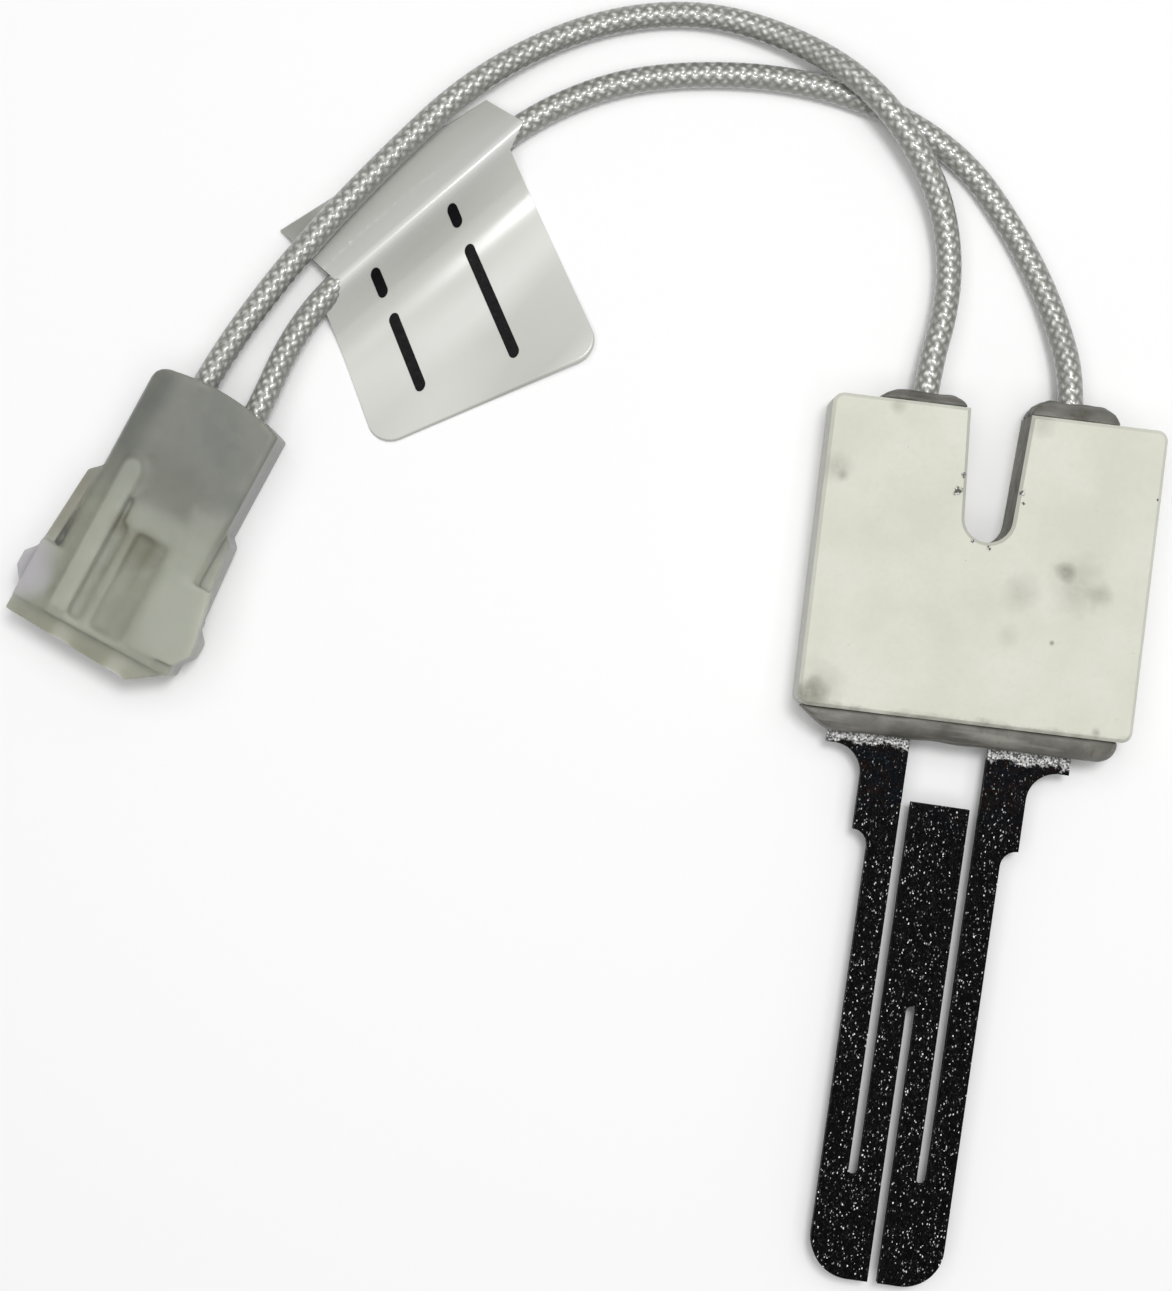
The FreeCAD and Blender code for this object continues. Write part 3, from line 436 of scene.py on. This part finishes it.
def natural_nylon():
    """Milky translucent moulding: its own tints, painted light and shade that follow the thickness and the voids
    behind each wall, and painted light on the raised tops and side walls.
    """
    s = Surface("natural_nylon_finish", IOR=1.53, Transmission_Weight=0.1, Subsurface_Weight=1.0,
                Subsurface_Radius=(1.0, 1.0, 0.9), Subsurface_Scale=0.0022, Specular_IOR_Level=0.3)
    cloud = s.span(s.noise(0.16, 4), 0, 1, -1.4, 1.4)
    from_rear = s.vector("SUBTRACT", s.place, PLUG_REAR)
    along = s.math("ADD", s.vector("DOT_PRODUCT", from_rear, PLUG_ALONG), cloud)
    across = s.math("ADD", s.vector("DOT_PRODUCT", from_rear, PLUG_ACROSS), cloud)
    rear = s.mix(s.span(s.noise(0.22, 4), 0.35, 0.65), (0.185, 0.192, 0.175), (0.225, 0.228, 0.20))
    front = s.mix(s.span(s.noise(0.3, 5, 0.6), 0.35, 0.65), (0.30, 0.31, 0.25), (0.37, 0.38, 0.32))
    tone = s.mix(s.span(along, 9.0, 16.0), rear, front)
    # patches from the table: tints, and painted light and shade
    for centre, reach, colour, share in PLUG_TONES:
        distance = s.math("POWER", s.math("DIVIDE", s.math("SUBTRACT", along, centre[0]), reach[0]), 2)
        distance = s.math("ADD", distance,
                          s.math("POWER", s.math("DIVIDE", s.math("SUBTRACT", across, centre[1]), reach[1]), 2))
        tone = s.mix(s.span(distance, 0.2, 1.5, share, 0), tone, colour)
    # painted light: the raised tops are made lighter
    raised_top_light = s.span(s.axis(s.place, "Z"), 8.3, 8.75, 0, 0.5)
    tone = s.mix(raised_top_light, tone, (0.45, 0.465, 0.40))
    # painted light: walls facing sideways are turned a paler grey
    side = s.span(s.math("ABSOLUTE", s.axis(s.facing, "Z")), 0.15, 0.75, 0.6, 0)
    tone = s.mix(side, tone, (0.40, 0.395, 0.40))
    s.set("Base Color", tone)
    s.set("Roughness", s.span(s.noise(0.9, 5, 0.6), 0.3, 0.7, 0.42, 0.58))
    s.set("Normal", s.bump(s.noise(1.6, 4, 0.5), 0.02, 0.4))
    return s.material


def bright_metal(name, colour, roughness, scratch=8.0):
    """Rolled or plated metal with fine drawing marks."""
    s = Surface(name, Metallic=1.0)
    marks = s.noise(scratch, 3, 0.6, s.stretch(s.place, (1.0, 0.08, 1.0)))
    s.set("Base Color", s.mix(s.span(marks, 0.3, 0.7), tuple(0.8 * value for value in colour), colour))
    s.set("Roughness", s.span(marks, 0.3, 0.7, roughness, roughness + 0.18))
    s.set("Normal", s.bump(marks, 0.01, 0.4))
    return s.material


def label_film():
    """Satin white film: soft waves along its fold with their light and shade painted in, painted light on the
    loop raised over the lead, a painted shadow at the loop's far end, dust under its coat.
    """
    s = Surface("label_film_finish", Specular_IOR_Level=0.4, Coat_Weight=0.7, Coat_Roughness=0.16)
    waves = s.noise(0.13, 1, 0.3, s.stretch(s.turned(s.place, LABEL_TURN_DEG), (0.22, 1.3, 0.3)))
    # painted light and shade of the soft waves, whose noise also bumps the film
    tone = s.mix(s.span(waves, 0.34, 0.64), (0.435, 0.435, 0.40), (0.56, 0.565, 0.525))
    # painted light: the film raised over the lead is made lighter
    loop_light = s.span(s.axis(s.place, "Z"), 1.6, 3.0, 0, 0.6)
    tone = s.mix(loop_light, tone, (0.58, 0.585, 0.57))
    tone = s.mix(s.span(s.noise(5.0, 4, 0.7), 0.62, 0.75, 0, 0.12), tone, (0.36, 0.36, 0.32))
    shade = s.near((-74.6, 27.6, 1.0), 1.2, 3.2, 0.6, 0.4)
    s.set("Base Color", s.mix(s.math("MULTIPLY", shade, 0.75), tone, (0.25, 0.25, 0.225)))
    s.set("Roughness", s.span(s.noise(0.2, 2), 0.3, 0.7, 0.34, 0.40))
    s.set("Normal", s.bump(waves, 0.5, 0.3, s.bump(s.noise(4.0, 3), 0.006, 0.4)))
    return s.material


def print_ink():
    """Black thermal print, slightly worn."""
    s = Surface("print_ink_finish", Specular_IOR_Level=0.1)
    worn = s.span(s.noise(3.0, 5, 0.7), 0.62, 0.72, 0, 0.4)
    s.set("Base Color", s.mix(worn, (0.004, 0.004, 0.005), (0.12, 0.12, 0.12)))
    s.set("Roughness", s.span(s.noise(2.0), 0.3, 0.7, 0.5, 0.65))
    return s.material


def dress(name, material):
    """Gives a CAD node that material."""
    mesh = nodes[name].data
    if not mesh.materials:
        mesh.materials.append(material)
    for index in range(len(mesh.materials)):
        mesh.materials[index] = material


def new_piece(name, mesh, material):
    """A new object of the part, riding with it and taking its finish from that slot."""
    piece = bpy.data.objects.new(name, mesh)
    bpy.context.scene.collection.objects.link(piece)
    mesh.materials.clear()
    mesh.materials.append(material)
    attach(piece, "root")
    return piece


def grid_quads(rows, columns, closed_round=False):
    """Quads over rows of points; closed_round joins each row's last point to its first."""
    index = np.arange(rows * columns).reshape(rows, columns)
    if closed_round:
        after = np.roll(index, -1, axis=1)
    else:
        after = index[:, 1:]
        index = index[:, :-1]
    return np.stack([index[:-1], after[:-1], after[1:], index[1:]], axis=-1).reshape(-1, 4)


def grid_mesh(name, points, closed_round=False):
    """A mesh over rows of points in millimetres."""
    rows, columns, _ = points.shape
    mesh = bpy.data.meshes.new(name)
    mesh.from_pydata((points.reshape(-1, 3) * MM).tolist(), [], grid_quads(rows, columns, closed_round).tolist())
    return mesh


def smooth_line(route):
    """Points along the NURBS line of a route, in millimetres, and the distance run at each."""
    curve = bpy.data.curves.new("route", "CURVE")
    curve.dimensions = "3D"
    curve.resolution_u = 24
    spline = curve.splines.new("NURBS")
    spline.points.add(len(route) - 1)
    for point, place in zip(spline.points, route):
        point.co = (*(value * MM for value in place), 1)
    spline.order_u = 3
    spline.use_endpoint_u = True
    guide = bpy.data.objects.new("route", curve)
    bpy.context.scene.collection.objects.link(guide)
    mesh = bpy.data.meshes.new_from_object(guide.evaluated_get(bpy.context.evaluated_depsgraph_get()))
    line = np.array([vertex.co for vertex in mesh.vertices]) / MM
    bpy.data.objects.remove(guide)
    bpy.data.curves.remove(curve)
    bpy.data.meshes.remove(mesh)
    steps = np.linalg.norm(np.diff(line, axis=0), axis=1)
    return line, np.concatenate([[0], np.cumsum(steps)])


def even_steps(line, run, step):
    """The line resampled at even steps, with a normal and a side direction carried along it."""
    count = int(run[-1] / step) + 1
    stations = np.linspace(0, run[-1], count)
    middle = np.stack([np.interp(stations, run, line[:, axis]) for axis in range(3)], axis=1)
    ahead = np.gradient(middle, axis=0)
    ahead /= np.linalg.norm(ahead, axis=1)[:, None]
    side = np.cross(ahead, [0, 0, 1])
    side /= np.linalg.norm(side, axis=1)[:, None]
    over = np.cross(side, ahead)
    return stations, middle, side, over


def braid(a, b):
    """Height of the upper yarn where yarn coordinates a and b meet, and which family is on top."""
    first = np.floor(a)
    second = np.floor(b)
    lateral_a = a - first - 0.5
    lateral_b = b - second - 0.5
    height_a = BRAID_DEPTH * np.sqrt(np.clip(1 - (1.85 * lateral_a) ** 2, 0, 1))
    height_b = BRAID_DEPTH * np.sqrt(np.clip(1 - (1.85 * lateral_b) ** 2, 0, 1))
    height_a = height_a + BRAID_SWAY * np.cos(np.pi * (b - 0.5 + first))
    height_b = height_b - BRAID_SWAY * np.cos(np.pi * (a - 0.5 + second))
    return np.maximum(height_a, height_b), height_a >= height_b


def braided_lead(name, route, material):
    """Tube with a woven surface along a route; returns the piece and the points it follows."""
    line, run = smooth_line(route)
    stations, middle, side, over = even_steps(line, run, BRAID_STEP)
    turn = np.linspace(0, 2 * np.pi, BRAID_SEGMENTS, endpoint=False)
    s, t = np.meshgrid(stations, turn, indexing="ij")
    around = t / (2 * np.pi) * BRAID_STRANDS
    height, _ = braid(around + s / BRAID_PITCH, around - s / BRAID_PITCH)
    crown = BRAID_DEPTH + BRAID_SWAY
    radius = LEAD_RADIUS - crown + height
    outward = np.cos(t)[..., None] * side[:, None, :] + np.sin(t)[..., None] * over[:, None, :]
    points = middle[:, None, :] + radius[..., None] * outward
    mesh = grid_mesh(name, points, closed_round=True)
    yarn_coordinates(mesh, stations)
    mesh.shade_smooth()
    piece = new_piece(name, mesh, material)
    return piece, (middle[::PATH_STRIDE] * MM).tolist()


def yarn_coordinates(mesh, stations):
    """UV map of a lead: along the upper yarn, and across it from -0.5 to 0.5."""
    rows = len(stations) - 1
    row, column = np.divmod(np.arange(rows * BRAID_SEGMENTS), BRAID_SEGMENTS)
    step = stations[1] - stations[0]
    centre_a = (column + 0.5) / BRAID_SEGMENTS * BRAID_STRANDS + stations[row] / BRAID_PITCH
    centre_b = (column + 0.5) / BRAID_SEGMENTS * BRAID_STRANDS - stations[row] / BRAID_PITCH
    shift = step / 2 / BRAID_PITCH
    _, a_on_top = braid(centre_a + shift, centre_b - shift)
    corners = []
    for down, right in ((0, 0), (0, 1), (1, 1), (1, 0)):
        around = (column + right) / BRAID_SEGMENTS * BRAID_STRANDS
        along = (stations[row] + down * step) / BRAID_PITCH
        a = around + along
        b = around - along
        lateral_a = a - np.floor(centre_a + shift) - 0.5
        lateral_b = b - np.floor(centre_b - shift) - 0.5
        u = np.where(a_on_top, b, a + 100)
        v = np.where(a_on_top, lateral_a, lateral_b)
        corners.append(np.stack([u, v], axis=-1))
    layer = mesh.uv_layers.new(name="yarn")
    layer.data.foreach_set("uv", np.stack(corners, axis=1).astype(np.float32).ravel())


def lerp(pair, share):
    """Point at a share of the way along a pair of points."""
    start, end = np.array(pair[0]), np.array(pair[1])
    return start + (end - start) * share


def film_profile(share):
    """One strip of the label across its width, from the flag's edge over the lead and back below.

    Returns points in millimetres: x and y by the label's lines, z by the film's height there.
    """
    width = np.linalg.norm(np.subtract(*LEAD_LINE))
    from_side = min(share, 1 - share) * width
    cut = 0.0
    if from_side < FLAG_CORNER_RADIUS:
        cut = FLAG_CORNER_RADIUS - math.sqrt(FLAG_CORNER_RADIUS ** 2 - (FLAG_CORNER_RADIUS - from_side) ** 2)
    lead, fold, spine = lerp(LEAD_LINE, share), lerp(FOLD_LINE, share), lerp(SPINE_LINE, share)
    reach = np.linalg.norm(lerp(OUTER_EDGE, share) - fold) - cut
    points = []
    for step in np.linspace(1, 0, FLAG_STEPS):
        place = flag_place(share, reach * step)
        points.append([*place, upper_height(place) + flag_lift(share, place)])
    for step in np.linspace(0.08, 1, EASE_STEPS):
        place = fold + (lead - fold) * step
        points.append([*place, upper_height(place)])
    span = np.linalg.norm(spine - lead)
    slope = math.atan2(FILM_CREST - 2 * SPINE_FOLD, span)
    leaves = FILM_HUG * math.sin(slope)
    shoulder = FILM_CREST - FILM_HUG * (1 - math.cos(slope))
    held = np.linspace(0.1, 1, HUG_STEPS) * leaves
    free = np.linspace(0, span - leaves, CREST_STEPS)[1:] + leaves
    for distance in np.concatenate([held, free]):
        height = FILM_CREST - FILM_HUG + math.sqrt(FILM_HUG ** 2 - min(distance, leaves) ** 2)
        height += (2 * SPINE_FOLD - shoulder) * max(distance - leaves, 0) / (span - leaves)
        points.append([*(lead + (spine - lead) * distance / span), height])
    outward = (spine - lead) / span
    for angle in np.linspace(0.15, 0.95, BEND_STEPS) * math.pi:
        place = spine + outward * SPINE_FOLD * math.sin(angle)
        points.append([*place, FILM_LOW + (SPINE_FOLD - FILM_LOW / 2) * (1 + math.cos(angle))])
    for step in np.linspace(0, 1, BACK_STEPS):
        points.append([*(spine + (lead - spine) * step), FILM_LOW])
    for step in np.linspace(0.1, 0.9, UNDER_STEPS):
        points.append([*(lead + (fold - lead) * step), FILM_LOW])
    for step in np.linspace(0, 1, LOWER_STEPS):
        place = flag_place(share, reach * step)
        points.append([*place, FILM_LOW + flag_lift(share, place)])
    return points


def flag_place(share, distance):
    """Plan position on the flag, that far from the line where it leaves the lead."""
    fold, edge = lerp(FOLD_LINE, share), lerp(OUTER_EDGE, share)
    return fold + (edge - fold) * distance / np.linalg.norm(edge - fold)


def from_lead(place):
    """Distance of a plan position from the lead's line."""
    along = np.subtract(*LEAD_LINE[::-1])
    offset = place - np.array(LEAD_LINE[0])
    return abs(along[0] * offset[1] - along[1] * offset[0]) / np.linalg.norm(along)


def upper_height(place):
    """Height of the upper film: round the lead, then down in one ease to the lower film."""
    away = from_lead(place)
    shoulder = FILM_CREST - FILM_HUG + math.sqrt(FILM_HUG ** 2 - min(away, FILM_LEAVES) ** 2)
    if away <= FILM_LEAVES:
        return shoulder
    flat = FILM_LOW + 1.15 * FILM
    steep = -FILM_LEAVES / math.sqrt(FILM_HUG ** 2 - FILM_LEAVES ** 2)
    t = min((away - FILM_LEAVES) / FILM_EASE, 1)
    blend = t * t * (3 - 2 * t)
    return shoulder + (flat - shoulder) * blend + steep * FILM_EASE * t * (1 - t) ** 2


def flag_lift(share, place):
    """How far the flag has curled up off the surface."""
    rise = max(0.0, (from_lead(place) - FILM_LEAVES - FILM_EASE) / 18)
    wave = 0.5 + 0.5 * math.cos(2 * math.pi * (share - 0.12))
    return FLAG_LIFT * rise ** 1.8 * (0.45 + 0.55 * wave)


def folded_label(material):
    """The film, folded round the right lead, with its two layers stuck together in the flag."""
    shares = 0.5 - 0.5 * np.cos(np.linspace(0, math.pi, STRIPS))
    points = np.array([film_profile(share) for share in shares])
    mesh = grid_mesh("label", points)
    body = bmesh.new()
    body.from_mesh(mesh)
    bmesh.ops.recalc_face_normals(body, faces=body.faces)
    bmesh.ops.solidify(body, geom=body.faces, thickness=FILM * MM)
    body.to_mesh(mesh)
    body.free()
    mesh.shade_smooth()
    piece = new_piece("label", mesh, material)
    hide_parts("lead_label")
    return piece


def label_marks(material):
    """Plain rounded bars where a label of this kind has its lines of print."""
    grids = [bar_points(share, start, length) for share, bars in PRINT_ROWS for start, length in bars]
    quads = grid_quads(BAR_STEPS, BAR_COLUMNS)
    faces = np.concatenate([quads + index * BAR_STEPS * BAR_COLUMNS for index in range(len(grids))])
    mesh = bpy.data.meshes.new("label_marks")
    mesh.from_pydata((np.array(grids).reshape(-1, 3) * MM).tolist(), [], faces.tolist())
    return new_piece("label_marks", mesh, material)


def bar_points(share, start, length):
    """A strip that lies on the flag, start millimetres from the lead's line, rounded at its ends."""
    grid = []
    for share_along in 0.5 - 0.5 * np.cos(np.linspace(0, math.pi, BAR_STEPS)):
        along = length * share_along
        end = min(along, length - along)
        reach = BAR_HALF_WIDTH
        if end < BAR_HALF_WIDTH:
            reach = math.sqrt(max(BAR_HALF_WIDTH ** 2 - (BAR_HALF_WIDTH - end) ** 2, 1e-6))
        row = []
        for side in np.linspace(-reach, reach, BAR_COLUMNS):
            here = share + side / LABEL_WIDTH
            place = flag_place(here, start + along)
            row.append([*place, upper_height(place) + flag_lift(here, place) + FILM / 2 + BAR_CLEARANCE])
        grid.append(row)
    return np.array(grid)


def softened(name, node, material, voxel, passes, upright=0, lumps=0.0, lump_scale=1.0, swell=0.0):
    """A copy of a CAD node with its edges rounded by remeshing, and lumps if it was laid by hand.

    The upright passes round the relief on top and leave the outline alone.
    """
    piece = new_piece(name, nodes[node].data.copy(), material)
    remesh = piece.modifiers.new("remesh", "REMESH")
    remesh.mode = "VOXEL"
    remesh.voxel_size = voxel * MM
    relax = piece.modifiers.new("relax", "SMOOTH")
    relax.factor = 0.5
    relax.iterations = passes
    blur = piece.modifiers.new("blur", "SMOOTH")
    blur.factor = 0.5
    blur.iterations = upright
    blur.use_x = blur.use_y = False
    result = bpy.data.meshes.new_from_object(piece.evaluated_get(bpy.context.evaluated_depsgraph_get()))
    piece.modifiers.clear()
    piece.data = result
    result.name = name
    if lumps:
        places = read_vectors(result.vertices, "co")
        normals = read_vectors(result.vertex_normals, "vector")
        rise = swell + lumps * np.array([noise.noise(Vector(place) * lump_scale / MM) for place in places])
        places += normals * rise[:, None] * MM
        result.vertices.foreach_set("co", places.ravel())
    result.materials.clear()
    result.materials.append(material)
    result.shade_smooth()
    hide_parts(node)
    return piece


def blurred(mesh):
    """Blurs the plug's upper relief as its milky walls do: shallower, and rounded inside its outline."""
    places = read_vectors(mesh.vertices, "co") / MM
    places[:, 2] = np.interp(places[:, 2], RELIEF_FROM, RELIEF_TO)
    offset = places - PLUG_REAR
    along = offset @ PLUG_ALONG
    across = np.abs(offset @ PLUG_ACROSS)
    inside = np.min([BLUR_ACROSS - across, along - BLUR_ALONG[0], BLUR_ALONG[1] - along,
                     places[:, 2] - BLUR_ABOVE], axis=0)
    share = 0.5 * np.clip(inside / BLUR_FADE, 0, 1)[:, None]
    ends = np.empty(len(mesh.edges) * 2, np.int32)
    mesh.edges.foreach_get("vertices", ends)
    one, other = ends.reshape(-1, 2).T
    to, source = np.concatenate([one, other]), np.concatenate([other, one])
    count = np.bincount(to, minlength=len(places))[:, None]
    for _ in range(BLUR_PASSES):
        around = [np.bincount(to, places[source, axis], len(places)) for axis in range(3)]
        places += share * (np.stack(around, axis=1) / count - places)
    mesh.vertices.foreach_set("co", (places * MM).ravel())


def read_vectors(collection, attribute):
    """That attribute of every element of a mesh collection, as rows of three numbers."""
    values = np.empty(len(collection) * 3, np.float32)
    collection.foreach_get(attribute, values)
    return values.reshape(-1, 3)


def floor_and_light():
    """Plain pale floor, a large soft light overhead, a small key for the gloss, and a pale sky."""
    mesh = bpy.data.meshes.new("floor")
    corners = [(-1, -1), (1, -1), (1, 1), (-1, 1)]
    mesh.from_pydata([(x * FLOOR_REACH, y * FLOOR_REACH, 0) for x, y in corners], [], [(0, 1, 2, 3)])
    floor = bpy.data.objects.new("floor", mesh)
    bpy.context.scene.collection.objects.link(floor)
    s = Surface("floor_finish", Base_Color=FLOOR_TONE, Roughness=0.8)
    mesh.materials.append(s.material)
    world = bpy.data.worlds.new("sky")
    world.use_nodes = True
    sky = world.node_tree.nodes["Background"]
    sky.inputs["Color"].default_value = (1, 1, 1, 1)
    sky.inputs["Strength"].default_value = SKY_STRENGTH
    bpy.context.scene.world = world
    bpy.context.scene.view_settings.view_transform = "Standard"
    for name, place, size, power in LAMPS:
        lamp(name, place, size, power)


def lamp(name, place, size, power):
    """A square area light of that size in millimetres, aimed at the middle of the part."""
    light = bpy.data.lights.new(name, "AREA")
    light.size = size * MM
    light.energy = power
    lamp_object = bpy.data.objects.new(name, light)
    lamp_object.location = Vector(place) * MM
    aim = Vector((CAMERA_X, CAMERA_Y, 0)) * MM
    lamp_object.rotation_euler = (aim - lamp_object.location).to_track_quat("-Z", "Y").to_euler()
    bpy.context.scene.collection.objects.link(lamp_object)


def photo_camera():
    """Camera straight above the photograph's middle."""
    camera = bpy.data.cameras.new("camera")
    camera.sensor_fit = "VERTICAL"
    camera.sensor_height = SENSOR
    camera.lens = SENSOR * CAMERA_HEIGHT / SEEN_HEIGHT
    camera.clip_start = 0.01
    camera.clip_end = 20
    camera_object = bpy.data.objects.new("camera", camera)
    camera_object.location = Vector((CAMERA_X, CAMERA_Y, CAMERA_HEIGHT)) * MM
    camera_object.rotation_euler = (0, 0, math.radians(CAMERA_TURN_DEG))
    bpy.context.scene.collection.objects.link(camera_object)
    bpy.context.scene.camera = camera_object


photo_camera()
floor_and_light()

braid_finish = glass_braid()
film_finish = label_film()
nylon_finish = natural_nylon()
cement_finish = grey_cement()
tin_finish = bright_metal("tinned_metal_finish", (0.72, 0.71, 0.68), roughness=0.2)
sheet_finish = bright_metal("nickel_sheet_finish", (0.64, 0.62, 0.58), roughness=0.25)
strand_finish = bright_metal("nickel_strand_finish", (0.60, 0.58, 0.54), roughness=0.3, scratch=14.0)

dress("ceramic_block", ivory_ceramic())
dress("heating_element", silicon_carbide())
for hand in ("left", "right"):
    dress("contact_clip_" + hand, sheet_finish)
    dress("block_conductor_" + hand, strand_finish)
    dress("plug_conductor_" + hand, strand_finish)
    dress("terminal_" + hand, tin_finish)
    softened("cement_mound_" + hand, "lead_cement_" + hand, cement_finish, voxel=0.22,
             passes=8, lumps=0.25, lump_scale=0.5)
softened("cement_band", "element_cement", cement_finish, voxel=0.22,
         passes=3, lumps=0.12, lump_scale=0.35, swell=0.08)
plug = softened("plug", "connector_housing", nylon_finish, voxel=0.2, passes=4,
                upright=16)
blurred(plug.data)

label = folded_label(film_finish)
marks = label_marks(print_ink())
left_lead, left_path = braided_lead("braided_lead_left", ROUTE_LEFT, braid_finish)
right_lead, right_path = braided_lead("braided_lead_right", ROUTE_RIGHT, braid_finish)
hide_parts("lead_left")
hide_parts("lead_right")
